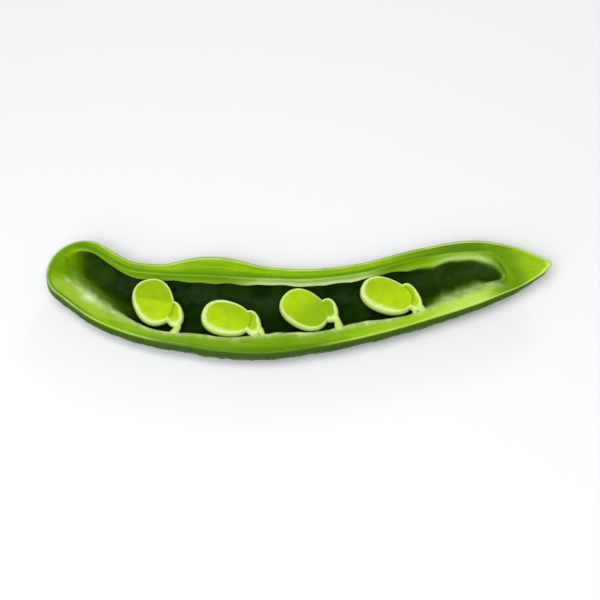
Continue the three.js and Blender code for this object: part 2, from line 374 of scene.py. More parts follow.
def catmull_rom(rows, place):
    """The rows' smooth curve and its direction at places counted in rows."""
    before = 2 * rows[0] - rows[1]
    after = 2 * rows[-1] - rows[-2]
    padded = np.vstack((before, rows, after))
    first = np.clip(np.floor(place).astype(int), 0, len(rows) - 2)
    share = (place - first)[:, None]
    p0, p1, p2, p3 = (padded[first + k] for k in range(4))
    leave = (p2 - p0) / 2
    arrive = (p3 - p1) / 2
    square = -3 * p1 + 3 * p2 - 2 * leave - arrive
    cube = 2 * p1 - 2 * p2 + leave + arrive
    value = p1 + leave * share + square * share**2 + cube * share**3
    slope = leave + 2 * square * share + 3 * cube * share**2
    return value, slope


def sections_at(place):
    """The pod's sections at places along it, counted in stations."""
    value, slope = catmull_rom(STATIONS, place)
    along = slope[:, :2] / np.linalg.norm(slope[:, :2], axis=1)[:, None]
    return SimpleNamespace(
        middle=value[:, :2],
        along=along,
        across=np.column_stack((-along[:, 1], along[:, 0])),
        half=value[:, 2],
        depth=value[:, 3],
        flesh_inner=value[:, 4],
        flesh_seeds=value[:, 5],
    )


def even_shares(fullness, half, thick, count, crowding):
    """Shares of a half turn whose points lie evenly on a full section, closer near its two ends."""
    turn = np.linspace(0, math.pi, 4001)
    x = half * signed_power(np.cos(turn), 2 / fullness)
    z = thick * signed_power(np.sin(turn), 2 / fullness)
    length = np.concatenate(([0], np.cumsum(np.hypot(np.diff(x), np.diff(z)))))
    wanted = np.linspace(0, 1, count)
    wanted -= crowding * np.sin(2 * math.pi * wanted) / (2 * math.pi)
    return np.interp(wanted * length[-1], length, turn) / math.pi


def pod_columns():
    """Both bodies' sections at every column: the whole pod's, and the hollow's inside it."""
    share = np.linspace(0, 1, COLUMNS + 1)
    body = np.clip((share - END_SHARES.start) / (END_SHARES.hollow_end - END_SHARES.start), 0, 1)
    beyond = (share - END_SHARES.hollow_end) / (END_SHARES.tip - END_SHARES.hollow_end)
    start_turn = np.clip(share / END_SHARES.start, 0, 1) * math.pi / 2
    tip_turn = np.clip((1 - share) / (1 - END_SHARES.tip), 0, 1) * math.pi / 2
    hollow_turn = np.clip((1 - share) / (1 - END_SHARES.hollow_end), 0, 1) ** 1.5 * math.pi / 2
    low, high = HOLLOW_PLACES

    pod = sections_at(high * body + (TIP_STATION - high) * np.clip(beyond, 0, 1))
    pod.closing = np.sin(start_turn) * np.sin(tip_turn)
    reach = POD_REACH[1] * np.cos(tip_turn) - POD_REACH[0] * np.cos(start_turn)
    pod.base = pod.middle + pod.along * reach[:, None]

    hollow = sections_at(low + (high - low) * body)
    start_climb, end_climb = HOLLOW_CLIMB
    hollow.climbing = np.sin(start_turn) ** start_climb * np.sin(hollow_turn) ** end_climb
    power = 2 / HOLLOW_END_FULLNESS
    hollow.narrowing = np.sin(start_turn) * np.sin(hollow_turn) ** power
    reach = HOLLOW_REACH[1] * np.abs(np.cos(hollow_turn)) ** power
    reach -= HOLLOW_REACH[0] * np.cos(start_turn)
    flesh = hollow.flesh_seeds.copy()
    for seed in SEEDS:
        distance = hollow.middle[:, 0] - seed.face[0] - POCKET.shift
        flesh -= POCKET.width * bump(distance, POCKET.spread)
    offset = (flesh - hollow.flesh_inner) / 2
    hollow.base = hollow.middle + hollow.along * reach[:, None]
    hollow.base = hollow.base + hollow.across * offset[:, None]
    hollow.half = hollow.half - (flesh + hollow.flesh_inner) / 2
    slant = HOLLOW_END_SLANT * smooth(0.8, 1.0, body)
    hollow.across = hollow.across - hollow.along * slant[:, None]
    return pod, hollow


def crowd(shares, place, spread, strength):
    """The same number of shares of 0 to 1, drawn closer together round one place."""
    fine = np.linspace(0, 1, 2001)
    density = 1 + strength * bump(fine - place, spread)
    passed = np.concatenate(([0], np.cumsum((density[1:] + density[:-1]) / 2)))
    return np.interp(shares * passed[-1], passed, fine)


def ledge_line(x, sizes):
    """How deep under the cut the lining starts: an uneven line, higher at the stalk end."""
    line = sizes.ledge_depth / MM + 0.3 * wander(x, WAVES.ledge)
    turns = sum(share * smooth(start, stop, x) for start, stop, share in LEDGE_TURNS)
    return line * (0.2 + 0.8 * smooth(*LEDGE_RISE, x)) * (1 + turns)


def plan(body, across, z):
    """Points across a body's sections as x, y, z."""
    xy = body.base[:, None, :] + body.across[:, None, :] * across[:, :, None]
    return np.dstack((xy, z))


def strip(points, **marks):
    """A run of points in every column, with what the materials read there, 0 where not said."""
    values = dict.fromkeys(MARKS, 0.0) | marks
    shape = points.shape[:2]
    return points, {key: np.broadcast_to(value, shape) for key, value in values.items()}


def reordered(run, order):
    """The points of a run in another order, with their marks."""
    points, marks = run
    return points[:, order], {key: value[:, order] for key, value in marks.items()}


class PodShape:
    """The pod's whole skin as columns of loops, and what the materials read at its points."""

    def __init__(self, sizes):
        pod, hollow = pod_columns()
        self.sizes = sizes
        self.pod = pod
        self.hollow = hollow

        # At every column: the hollow's depth and half its width, then the pod's, and the flesh.
        self.thick = (hollow.depth - sizes.wall / MM) * hollow.climbing
        self.wide = hollow.half * hollow.narrowing
        self.pod_wide = pod.half * pod.closing
        self.edge = np.minimum(sizes.outer_rim / MM, 0.12 * pod.depth)
        self.pod_middle = -WIDEST_BELOW * pod.depth * pod.closing - self.edge * (1 - pod.closing)
        self.pod_thick = (1 - WIDEST_BELOW) * pod.depth * pod.closing
        self.flesh_width = np.linalg.norm(pod.base - hollow.base, axis=1)
        self.flesh_width = self.flesh_width + self.pod_wide - self.wide

        # How much a column belongs to the stalk end, to the tip, and to the hollow's long sides.
        self.near_stalk = smooth(*STALK_END, pod.base[:, 0])
        self.near_tip = smooth(*TIP_END, pod.base[:, 0])
        self.along_side = smooth(0.0, 1.0, hollow.narrowing**2)
        full = HOLLOW_FULLNESS
        self.seeds_fullness = full.seeds + (full.stalk_end - full.seeds) * self.near_stalk
        self.seeds_fullness += (full.tip_end - full.seeds) * self.near_tip
        self.inner_fullness = full.inner + (full.arch - full.inner) * self.near_tip
        inner_spread = 1 + self.near_stalk
        seeds_spread = 1.5 + 1.1 * self.near_stalk - 0.3 * self.near_tip
        self.rims = {
            1: self.rim(sizes.inner_rim, sizes.inner_dome, self.inner_fullness, inner_spread),
            -1: self.rim(sizes.seed_rim, sizes.seed_dome, self.seeds_fullness, seeds_spread),
        }

    def rim(self, rounding, dome, fullness, spread):
        """A side's rim, which reaches over the cut by its radius and a spread.

        Both sides become alike where they meet at the hollow's two ends.
        """
        end_rounding = self.sizes.end_rim
        rounding = (end_rounding + (rounding - end_rounding) * self.along_side) / MM
        end_spread = 1.2 + 0.8 * self.near_stalk
        spread = end_spread + (spread - end_spread) * self.along_side
        radius = np.minimum(rounding, 0.45 * self.flesh_width)
        deep = np.maximum(self.thick, TINY)
        turn = np.arcsin(np.minimum(radius / deep, 0.5) ** (fullness / 2))
        crown = dome / MM * smooth(0.5, 2.5, self.flesh_width) * self.pod.closing
        slant = self.wide / deep * np.tan(turn) ** (2 - 2 / fullness)
        return SimpleNamespace(
            slant=np.minimum(slant, 2.0),
            reach=radius * spread,
            hollow_turn=turn,
            crown=np.minimum(crown, 0.6 * np.minimum(radius, self.edge)),
        )

    def soft_start(self, x, below):
        """The lining and the torn pale tissue at a depth, down the seed-bearing side."""
        near_stalk = self.near_stalk[:, None]
        near_tip = self.near_tip[:, None]
        ragged = below + 0.3 * wander(x, WAVES.lining)
        start = 0.45 + 0.2 * near_stalk
        lining = smooth(start, start + 1.1 + 1.2 * near_stalk + 2.6 * near_tip, ragged)
        torn = 0.65 + 0.35 * wander(x + 0.8 * below, WAVES.torn)
        torn *= smooth(*TORN_START, x) * smooth(*TORN_STOP, x)
        spread = 0.4 + 0.25 * near_stalk + 0.6 * near_tip
        return lining, bump(ragged - start - spread, spread) * torn

    def wall_turns(self):
        """Turns under the cut of the wall's points. One row follows the ledge, for a clean line."""
        start = self.rims[1].hollow_turn
        span = math.pi - start - self.rims[-1].hollow_turn
        ledge_x = (self.hollow.base + self.hollow.across * self.wide[:, None])[:, 0]
        down = ledge_line(ledge_x, self.sizes) / np.maximum(self.thick, TINY)
        ledge = (np.arcsin(np.clip(down, 0, 0.8) ** (self.inner_fullness / 2)) - start) / span
        ledge = np.clip(ledge, 0.04, 0.4)[:, None]
        usual = float(np.median(ledge))
        shares = crowd(np.linspace(0, 1, 2 * FLOOR_POINTS - 1), usual, *LEDGE_CROWDING)
        shares[np.argmin(np.abs(shares - usual))] = usual
        above = shares * ledge / usual
        under = ledge + (shares - usual) * (1 - ledge) / (1 - usual)
        return start[:, None] + np.where(shares <= usual, above, under) * span[:, None]

    def walls(self, turn):
        """The hollow's wall at turns under the cut, 0 on +Y and pi on -Y."""
        wide = self.wide[:, None]
        thick = self.thick[:, None]
        near_stalk = self.near_stalk[:, None]
        near_tip = self.near_tip[:, None]
        inner_half = turn < math.pi / 2
        power = 2 / np.where(inner_half, self.inner_fullness[:, None], self.seeds_fullness[:, None])
        across = signed_power(np.cos(turn), power)
        out_x = signed_power(np.cos(turn), 2 - power) / np.maximum(wide, TINY)
        out_z = -(np.sin(turn) ** (2 - power)) / np.maximum(thick, TINY)
        norm = np.maximum(np.hypot(out_x, out_z), TINY)
        x = self.hollow.base[:, None, 0] + self.hollow.across[:, None, 0] * wide * across
        below = thick * np.sin(turn) ** power

        ledge = below - ledge_line(x, self.sizes)
        lower = 0.45 * smooth(*ARCH_END, x)
        on_inner = smooth(-0.35 - lower, 0.15 - lower, across)
        deep = smooth(0.6, 2.5, thick)
        step = self.sizes.ledge_step / MM * smooth(0.0, 0.35, ledge) * deep * on_inner
        z = -below + out_z / norm * step
        points = plan(self.hollow, wide * across + out_x / norm * step, z)

        # The lining starts sharply under the ledge, less so toward the tip, and softly down the
        # seed-bearing side.
        sharp = smooth(-0.5 * near_tip, 0.22 + 0.3 * near_tip, ledge)
        soft, torn = self.soft_start(x, below)
        lining = on_inner * sharp + (1 - on_inner) * soft
        pale = bump(ledge + 0.35, 0.36) * on_inner + torn * (1 - on_inner)
        further = 0.15 * near_tip
        return strip(
            points,
            lining=lining * smooth(*LINING_START, x),
            pale_edge=pale * deep,
            inner_side=smooth(0.65 + further, 0.45 + further, turn / math.pi),
        )

    def skin(self):
        """The pod's skin, from the edge of the cut on +Y round under it to the one on -Y."""
        pod = self.pod
        up = (-self.edge - self.pod_middle) / np.maximum(self.pod_thick, TINY)
        start = -np.arcsin(signed_power(np.clip(up, -1, 1), POD_FULLNESS / 2))
        shares = even_shares(POD_FULLNESS, *USUAL_SECTION, SKIN_POINTS, SKIN_CROWDING)
        turn = start[:, None] + shares * (math.pi - start - start)[:, None]

        power = 2 / POD_FULLNESS
        across = signed_power(np.cos(turn), power)
        up = -signed_power(np.sin(turn), power)
        out_x = signed_power(np.cos(turn), 2 - power) / pod.half[:, None]
        out_z = -signed_power(np.sin(turn), 2 - power) / pod.depth[:, None]
        norm = np.hypot(out_x, out_z)
        out_x = out_x / norm
        out_z = out_z / norm
        lean = LEAN * pod.closing[:, None] * np.minimum(up, 0) ** 2
        across = self.pod_wide[:, None] * across + lean
        z = self.pod_middle[:, None] + self.pod_thick[:, None] * up

        sizes = self.sizes
        side = np.abs(out_x) * (pod.closing * np.clip(pod.depth / 4, 0, 1))[:, None]
        raised = sizes.margin_height / MM * bump(-z - sizes.margin_depth / MM, MARGIN_SPREAD)
        raised -= sizes.groove_height / MM * bump(-z - sizes.groove_depth / MM, GROOVE_SPREAD)
        across = across + raised * out_x * side
        z = z + raised * out_z * side
        points = plan(pod, across, z)
        for seed in SEEDS:
            distance = np.hypot(points[:, :, 0] - seed.face[0], points[:, :, 1] - seed.face[1])
            z = z + sizes.swell_height / MM * bump(distance, SWELL_SPREAD) * np.minimum(out_z, 0)
        points[:, :, 2] = np.maximum(z, -sizes.cut_height / MM)
        return strip(points, skin_side=1.0, flesh_across=1.0)

    def rim_strip(self, side, wall_top, inner_end, outward):
        """Over the rounded rim, from the hollow's wall up to the cut flesh."""
        rim = self.rims[side]
        rise = -rim.crown - wall_top[:, 2]
        room = np.linalg.norm(inner_end - wall_top[:, :2], axis=1)
        corner = wall_top[:, :2] + outward * np.minimum(rise * rim.slant, 0.7 * room)[:, None]
        share = np.linspace(0, 1, RIM_POINTS + 1)[None, 1:, None]
        xy = wall_top[:, None, :2] * (1 - share) ** 2 + inner_end[:, None] * share**2
        xy = xy + corner[:, None] * 2 * share * (1 - share)
        share = share[:, :, 0]
        z = wall_top[:, 2:3] + rise[:, None] * (2 - share) * share
        points = np.dstack((xy, z))
        if side > 0:
            return strip(points, cut_face=share, inner_side=1.0)
        soft, torn = self.soft_start(xy[:, :, 0], -z)
        covered = smooth(*LINING_START, xy[:, :, 0]) * self.along_side[:, None]
        return strip(
            points,
            cut_face=smooth(0.35, 0.95, share),
            inner_side=(self.near_tip * (1 - self.along_side))[:, None],
            lining=soft * covered,
            pale_edge=torn * covered,
        )

    def cut_strip(self, side, inner_end, outer_end):
        """Across the domed and faintly wavy cut flesh."""
        share = np.linspace(0, 1, CUT_POINTS + 1)[None, 1:]
        xy = inner_end[:, None] + (outer_end - inner_end)[:, None] * share[:, :, None]
        waves = wander(xy[:, :, 0] + 3 * side, WAVES.cut)
        waves = 0.03 * (1 + waves) * smooth(0, 0.15, share * (1 - share))
        waves *= smooth(0.3, 1.0, self.hollow.narrowing)[:, None]
        crown = -self.rims[side].crown[:, None] * (2 * share - 1) ** 2
        points = np.dstack((xy, crown - waves))
        return strip(points, cut_face=1.0, flesh_across=share, inner_side=float(side > 0))

    def edge_strip(self, side, outer_end, skin_top):
        """Over the outer edge, from the cut flesh down to the skin."""
        crown = self.rims[side].crown
        turn = np.linspace(0, math.pi / 2, EDGE_POINTS + 1)[None, 1:-1]
        share = np.sin(turn)[:, :, None]
        xy = outer_end[:, None] + (skin_top[:, :2] - outer_end)[:, None] * share
        fall = (skin_top[:, 2] + crown)[:, None]
        points = np.dstack((xy, -crown[:, None] + fall * (1 - np.cos(turn))))
        skinward = np.linspace(0, 1, EDGE_POINTS + 1)[1:-1]
        return strip(
            points,
            cut_face=1 - skinward,
            skin_side=skinward,
            flesh_across=1.0,
            inner_side=float(side > 0),
        )

    def cut_between(self, side, wall_top, skin_top):
        """The three strips between the hollow's wall and the skin, outward on +Y, inward on -Y."""
        hollow = self.hollow
        inner = hollow.base + hollow.across * (side * self.wide)[:, None]
        outer = self.pod.base + self.pod.across * (side * self.pod_wide)[:, None]
        gap = outer - inner
        width = np.maximum(np.linalg.norm(gap, axis=1), TINY)
        outward = gap / width[:, None]
        inner_end = inner + outward * np.minimum(self.rims[side].reach, 0.75 * width)[:, None]
        outer_end = outer - outward * np.minimum(self.edge, 0.2 * width)[:, None]
        strips = [
            self.rim_strip(side, wall_top, inner_end, outward),
            self.cut_strip(side, inner_end, outer_end),
            self.edge_strip(side, outer_end, skin_top),
        ]
        if side > 0:
            return strips
        return [reordered(run, slice(None, None, -1)) for run in reversed(strips)]

    def loops(self):
        """Each column's loop, which starts and ends on the hollow's floor, and its marks."""
        walls = self.walls(self.wall_turns())
        skin = self.skin()
        middle = FLOOR_POINTS - 1
        runs = [
            reordered(walls, slice(middle, None, -1)),
            *self.cut_between(1, walls[0][:, 0], skin[0][:, 0]),
            skin,
            *self.cut_between(-1, walls[0][:, -1], skin[0][:, -1]),
            reordered(walls, slice(None, middle - 1, -1)),
        ]
        points = np.concatenate([run[0] for run in runs], axis=1)
        marks = {key: np.concatenate([run[1][key] for run in runs], axis=1) for key in MARKS}
        return points, marks


# Mesh helpers


def start_fresh():
    """Leaves nothing selected, so that an operator acts on the new piece alone."""
    bpy.ops.object.select_all(action="DESELECT")


def coordinates(mesh):
    values = np.zeros(len(mesh.vertices) * 3)
    mesh.vertices.foreach_get("co", values)
    return values.reshape(-1, 3)


def set_coordinates(mesh, values):
    mesh.vertices.foreach_set("co", values.astype(np.float32).ravel())
    mesh.update()


def add_mark(mesh, name, values):
    """Stores one number for each vertex, which a material reads by name."""
    layer = mesh.attributes.get(name) or mesh.attributes.new(name, "FLOAT", "POINT")
    layer.data.foreach_set("value", np.ascontiguousarray(values, np.float32).ravel())


def add_direction_mark(mesh, name, values):
    layer = mesh.attributes.get(name) or mesh.attributes.new(name, "FLOAT_VECTOR", "POINT")
    layer.data.foreach_set("vector", np.ascontiguousarray(values, np.float32).ravel())


def weigh(piece, name, weights):
    """A vertex group whose weights say how strongly a modifier acts."""
    group = piece.vertex_groups.new(name=name)
    for index in np.flatnonzero(weights > 0.01):
        group.add([int(index)], float(weights[index]), "REPLACE")
    return group.name


def displace(piece, texture, strength, group, middle=0.5):
    """Moves the surface along its normals by a made pattern, and applies that."""
    bpy.ops.object.modifier_add(type="DISPLACE")
    relief = piece.modifiers[-1]
    relief.texture = texture
    relief.texture_coords = "LOCAL"
    relief.mid_level = middle
    relief.strength = strength
    relief.vertex_group = group
    bpy.ops.object.modifier_apply(modifier=relief.name)


def crumple(piece, name, relief, group):
    """Moves the surface by a cloudy pattern with the relief's cell size and height."""
    cells, height = relief
    texture = bpy.data.textures.new(name, "CLOUDS")
    texture.noise_scale = cells
    texture.noise_depth = 2
    displace(piece, texture, height, group)


def pebble_texture(name, size):
    texture = bpy.data.textures.new(name, "VORONOI")
    texture.noise_scale = size
    texture.noise_intensity = 1.2
    return texture


def finish_piece(piece, name, body, slot, material, *nodes):
    """Names a piece, gives it its material and smooth shading, hangs it on its body's empty, and
    hides the solid model's parts that it stands in for.
    """
    piece.name = name
    piece.data.name = name
    piece.data.materials.clear()
    piece.data.materials.append(material)
    bpy.ops.object.shade_smooth()
    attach(piece, body)
    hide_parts(*nodes)


# Material helpers


class Tree:
    """Adds and links shader nodes in one node tree."""

    def __init__(self, tree):
        self.tree = tree

    def add(self, kind, inputs=None, **settings):
        node = self.tree.nodes.new(kind)
        for key, value in settings.items():
            setattr(node, key, value)
        self.fill(node, inputs or {})
        return node

    def fill(self, node, inputs):
        """Links or sets a node's sockets."""
        for key, value in inputs.items():
            self.put(node.inputs[key], value)

    def put(self, socket, value):
        """Links a socket, or sets a number or colour on the socket itself."""
        if isinstance(value, bpy.types.NodeSocket):
            self.tree.links.new(value, socket)
        elif isinstance(value, (tuple, Color)) and socket.type == "RGBA":
            socket.default_value = (*value, 1.0)
        else:
            socket.default_value = value

    def mark(self, name):
        """The number that the mesh stores for each vertex under this name."""
        return self.add("ShaderNodeAttribute", attribute_name=name).outputs["Fac"]

    def math(self, operation, *values):
        node = self.add("ShaderNodeMath", operation=operation)
        for socket, value in zip(node.inputs, values, strict=False):
            self.put(socket, value)
        return node.outputs[0]

    def vector(self, operation, first, second):
        node = self.add("ShaderNodeVectorMath", {0: first, 1: second}, operation=operation)
        return node.outputs

    def times(self, first, *others):
        """The product of masks and numbers."""
        for other in others:
            first = self.math("MULTIPLY", first, other)
        return first

    def most(self, first, *others):
        """The greatest of masks."""
        for other in others:
            first = self.math("MAXIMUM", first, other)
        return first

    def opposite(self, mask):
        return self.math("SUBTRACT", 1.0, mask)

    def span(self, value, low, high, to_low=0.0, to_high=1.0):
        """The value's place between two limits, as an even S between two results."""
        inputs = {"Value": value, "From Min": low, "From Max": high}
        inputs.update({"To Min": to_low, "To Max": to_high})
        node = self.add("ShaderNodeMapRange", inputs, interpolation_type="SMOOTHSTEP")
        return node.outputs["Result"]

    # A Mix node has its numbers at sockets 2 and 3, and its colours at 6 and 7.

    def mix(self, share, first, second):
        """A colour between two colours."""
        node = self.add("ShaderNodeMix", data_type="RGBA")
        self.put(node.inputs[0], share)
        self.put(node.inputs[6], first)
        self.put(node.inputs[7], second)
        return node.outputs[2]

    def stretch(self, value, start, full, fade, gone, strength):
        """A strength that comes in between two places along the pod and fades between two more."""
        comes = self.span(value, start, full, 0.0, strength)
        return self.times(comes, self.span(value, fade, gone, 1.0, 0.0))

    def blend(self, share, first, second):
        """A number between two numbers."""
        node = self.add("ShaderNodeMix", data_type="FLOAT")
        self.put(node.inputs[0], share)
        self.put(node.inputs[2], first)
        self.put(node.inputs[3], second)
        return node.outputs[0]

    def relief(self, height, strength):
        """The surface's normal over a fine relief."""
        inputs = {"Height": height, "Strength": strength, "Distance": 0.0001}
        return self.add("ShaderNodeBump", inputs).outputs["Normal"]


def group_tree(name, inputs, outputs):
    """An empty node group with the named sockets, and its two end nodes."""
    group = bpy.data.node_groups.new(name, "ShaderNodeTree")
    for label, kind, default in inputs:
        socket = group.interface.new_socket(label, in_out="INPUT", socket_type=kind)
        if default is not None:
            socket.default_value = default
    for label, kind in outputs:
        group.interface.new_socket(label, in_out="OUTPUT", socket_type=kind)
    tree = Tree(group)
    return tree, tree.add("NodeGroupInput").outputs, tree.add("NodeGroupOutput").inputs


def mottle_group():
    """Uneven cloudy patches with finer specks in them, as fresh plant tissue has."""
    name = "fresh mottle"
    if name in bpy.data.node_groups:
        return bpy.data.node_groups[name]
    number = "NodeSocketFloat"
    sizes = [("Patches", number, 300.0), ("Specks", number, 1500.0)]
    tree, given, result = group_tree(
        name,
        [("Place", "NodeSocketVector", None), *sizes],
        [("Cloud", number), ("Speck", number)],
    )
    inputs = {"Vector": given["Place"], "Scale": given["Patches"], "Detail": 3.0}
    cloud = tree.add("ShaderNodeTexNoise", inputs)
    inputs = {"Vector": given["Place"], "Scale": given["Specks"], "Detail": 2.0}
    speck = tree.add("ShaderNodeTexNoise", inputs)
    tree.put(result["Cloud"], tree.span(cloud.outputs["Fac"], 0.32, 0.68))
    tree.put(result["Speck"], tree.span(speck.outputs["Fac"], 0.35, 0.65))
    return tree.tree


def mottled(tree, place, patches, specks):
    """The mottle's masks at a place, with its patches and specks of these sizes."""
    inputs = {"Place": place, "Patches": patches, "Specks": specks}
    return tree.add("ShaderNodeGroup", inputs, node_tree=mottle_group()).outputs


def new_material(name):
    material = bpy.data.materials.new(name)
    material.use_nodes = True
    tree = Tree(material.node_tree)
    shader = next(n for n in material.node_tree.nodes if n.type == "BSDF_PRINCIPLED")
    return material, tree, shader


def pod_patterns(tree):
    """The places, marks and uneven patterns that the pod's colours follow."""
    place = tree.add("ShaderNodeTexCoord").outputs["Object"]
    axes = tree.add("ShaderNodeSeparateXYZ", {"Vector": place}).outputs
    along = axes["X"]
    mottle = mottled(tree, place, 260.0, 1400.0)
    straight = tree.add("ShaderNodeAttribute", attribute_name="straight").outputs["Vector"]
    drawn_out = tree.vector("MULTIPLY", straight, FIBRE_STRETCH)["Vector"]
    inputs = {"Vector": drawn_out, "Scale": 1500.0, "Detail": 3.0, "Roughness": 0.6}
    fibres = tree.add("ShaderNodeTexNoise", inputs).outputs["Fac"]
    shifted = tree.math("SUBTRACT", along, SLANT_SHIFT)
    slanted = tree.math("MULTIPLY_ADD", axes["Y"], HOLLOW_END_SLANT, shifted)
    inner = tree.mark("inner_side")
    other = tree.opposite(inner)
    # A painted highlight lies on the lobe's seed-bearing slope, low on the pod, where its coat is
    # moist too.
    lobe_side = tree.span(axes["Y"], *PLACES.lobe_side)
    lobe = tree.times(tree.span(along, *PLACES.lobe), other, lobe_side)
    return SimpleNamespace(
        place=place,
        along=along,
        slanted=slanted,
        height=axes["Z"],
        cloud=mottle["Cloud"],
        speck=mottle["Speck"],
        fibres=fibres,
        streak=tree.span(fibres, 0.36, 0.64),
        inner=inner,
        other=other,
        lobe=lobe,
        # Where the painted shade round the stalk end lies.
        stalk_end=tree.span(along, *PLACES.stalk_end),
        tip_root=tree.stretch(slanted, *STRETCHES.tip_root),
    )


def flesh_colour(tree, colours, at):
    """The cut flesh, streaked along the pod, with a dark line at its rim, a pale outer line that is
    partly painted highlight, painted shade on the belly and at the stalk end, and a painted
    highlight on the lobe.
    """
    across = tree.mark("flesh_across")
    flesh = tree.mix(tree.times(at.streak, 0.4), colours.flesh, colours.flesh_deep)
    flesh = tree.mix(tree.times(at.cloud, 0.25), flesh, colours.flesh_pale)

    # The flesh is deeper over the arch and at the root of the tip. Painted shade makes it deeper
    # along the belly's outer side and round the stalk end, where they turn away from the light, and
    # it is paler on the seed-bearing edge toward the tip.
    belly_shade = tree.times(tree.stretch(at.along, *STRETCHES.belly_shade), at.other)
    belly_shade_outside = tree.times(belly_shade, tree.blend(tree.span(across, 0.15, 0.85), 0.4, 0.95))
    arch = tree.times(tree.stretch(at.along, *STRETCHES.arch), at.inner)
    deep = tree.most(belly_shade_outside, arch, at.stalk_end, at.tip_root)
    flesh = tree.mix(deep, flesh, colours.flesh_deep)
    pale_end = tree.times(tree.stretch(at.along, *STRETCHES.pale_end), at.other)
    pale_tip = tree.span(at.slanted, *PLACES.pale_tip)
    flesh = tree.mix(tree.most(pale_end, pale_tip), flesh, colours.flesh_pale)
    mint = tree.times(tree.stretch(at.along, *STRETCHES.mint), at.other)
    flesh = tree.mix(mint, flesh, colours.flesh_edge)

    beside_hollow = tree.stretch(at.slanted, *STRETCHES.dark_line)
    dark_line = tree.times(tree.span(across, 0.5, 0.0), at.inner, beside_hollow, 0.8)
    flesh = tree.mix(dark_line, flesh, colours.flesh_deep)
    # The pale outer line is partly a painted highlight along the cut's outer edge, and stays off
    # the belly's painted shade.
    broken = tree.blend(at.cloud, 0.5, 0.95)
    edge_highlight = tree.times(tree.span(across, 0.84, 0.95), broken, tree.opposite(belly_shade))
    flesh = tree.mix(edge_highlight, flesh, colours.flesh_edge)
    # Painted highlight: paler flesh on the lobe's rim.
    lobe_rim_highlight = tree.times(at.lobe, tree.span(across, 0.4, 0.0, 0.0, 0.6))
    return tree.mix(lobe_rim_highlight, flesh, colours.flesh_pale)


def hollow_colour(tree, colours, at):
    """The hollow: its wall, the torn pale edge where its lining starts, and the dark lining, with
    painted light and shade on the lining and painted highlights on the wall.
    """
    # Painted light and shade: the lining's floor is paler at both ends, most on the seed-bearing
    # side, and darker in the middle.
    lit_stalk_floor = tree.span(at.along, *PLACES.lit_stalk_floor)
    ends = tree.most(lit_stalk_floor, tree.span(at.along, *PLACES.lit_tip_floor))
    ends = tree.times(ends, tree.blend(at.inner, 0.9, 0.08))
    lining = tree.mix(ends, colours.lining, colours.lining_pale)
    lining = tree.mix(tree.times(at.cloud, 0.06), lining, colours.lining_pale)

    # Partly painted highlight: the inner wall is paler, and its ledge brighter, in the middle and
    # near the tip, partly from the wall's paler tissue.
    pale_and_highlit = tree.stretch(at.along, *STRETCHES.pale_highlit_middle)
    pale_and_highlit = tree.most(pale_and_highlit, tree.stretch(at.along, *STRETCHES.pale_highlit_tip))
    inner_wall = tree.mix(pale_and_highlit, colours.flesh, colours.inner_wall)
    # Painted shade round the stalk end, on the seed-bearing wall.
    seeds_wall = tree.mix(at.stalk_end, colours.flesh, colours.flesh_deep)
    # Painted highlight: the wall is paler on the lobe's seed-bearing slope.
    seeds_wall = tree.mix(tree.times(at.lobe, 0.7), seeds_wall, colours.flesh_pale)
    wall = tree.mix(at.inner, seeds_wall, inner_wall)
    wall = tree.mix(tree.times(at.tip_root, 0.6), wall, colours.flesh_deep)
    wall = tree.mix(tree.times(at.streak, 0.25), wall, colours.flesh_deep)

    # A painted highlight: a pale spot on the lobe's slope, in the ledge's colour.
    away = tree.vector("DISTANCE", at.place, LOBE_HIGHLIGHT_PATCH.place)["Value"]
    lobe_highlight_patch = tree.span(away, *LOBE_HIGHLIGHT_PATCH.reach)
    lobe_highlight_patch = tree.times(lobe_highlight_patch, tree.blend(at.cloud, 0.45, 0.8))
    on_inner = tree.math("ADD", tree.times(tree.math("POWER", pale_and_highlit, 2.0), 1.1), 0.05)
    shares = tree.blend(at.inner, tree.blend(at.cloud, 0.3, 0.9), on_inner)
    ledge = tree.times(tree.mark("pale_edge"), shares)
    wall = tree.mix(tree.most(ledge, lobe_highlight_patch), wall, colours.ledge)
    hollow = tree.mix(tree.mark("lining"), wall, lining)
    return tree.mix(tree.times(ledge, at.other), hollow, colours.ledge)


def skin_colour(tree, colours, at):
    """The dark skin with its paler specks, lighter just under the cut."""
    speck = tree.times(tree.stretch(at.height, *STRETCHES.speck_height), at.speck)
    skin = tree.mix(speck, colours.skin, colours.skin_speck)
    skin = tree.mix(tree.times(at.cloud, 0.2), skin, colours.skin_speck)
    return tree.mix(tree.span(at.height, *PLACES.near_cut), skin, colours.skin_edge)


def pod_material(colours):
    """Cut flesh, the hollow's wall and lining, and the outer skin, by the marks on the mesh."""
    material, tree, shader = new_material("pod flesh and skin")
    at = pod_patterns(tree)
    cut = tree.mark("cut_face")
    outside = tree.mark("skin_side")
    inside = tree.mix(cut, hollow_colour(tree, colours, at), flesh_colour(tree, colours, at))
    colour = tree.mix(outside, inside, skin_colour(tree, colours, at))
    gloss = tree.blend(outside, tree.blend(cut, 0.42, 0.28), 0.36)
    moist = tree.times(cut, tree.blend(at.cloud, 0.25, 0.5))
    moist = tree.blend(outside, tree.most(moist, at.lobe), 0.12)
    fine = tree.blend(outside, tree.times(at.fibres, 0.7), at.speck)
    tree.fill(
        shader,
        {
            "Base Color": colour,
            "Roughness": tree.math("ADD", gloss, tree.blend(at.streak, -0.04, 0.06)),
            "IOR": 1.42,
            "Subsurface Weight": 0.2,
            "Subsurface Radius": (0.5, 1.0, 0.1),
            "Subsurface Scale": 0.001,
            "Specular IOR Level": 0.04,
            "Coat Roughness": 0.26,
            "Coat Weight": tree.times(moist, tree.opposite(tree.mark("lining"))),
            "Normal": tree.relief(fine, 0.25),
        },
    )
    return material


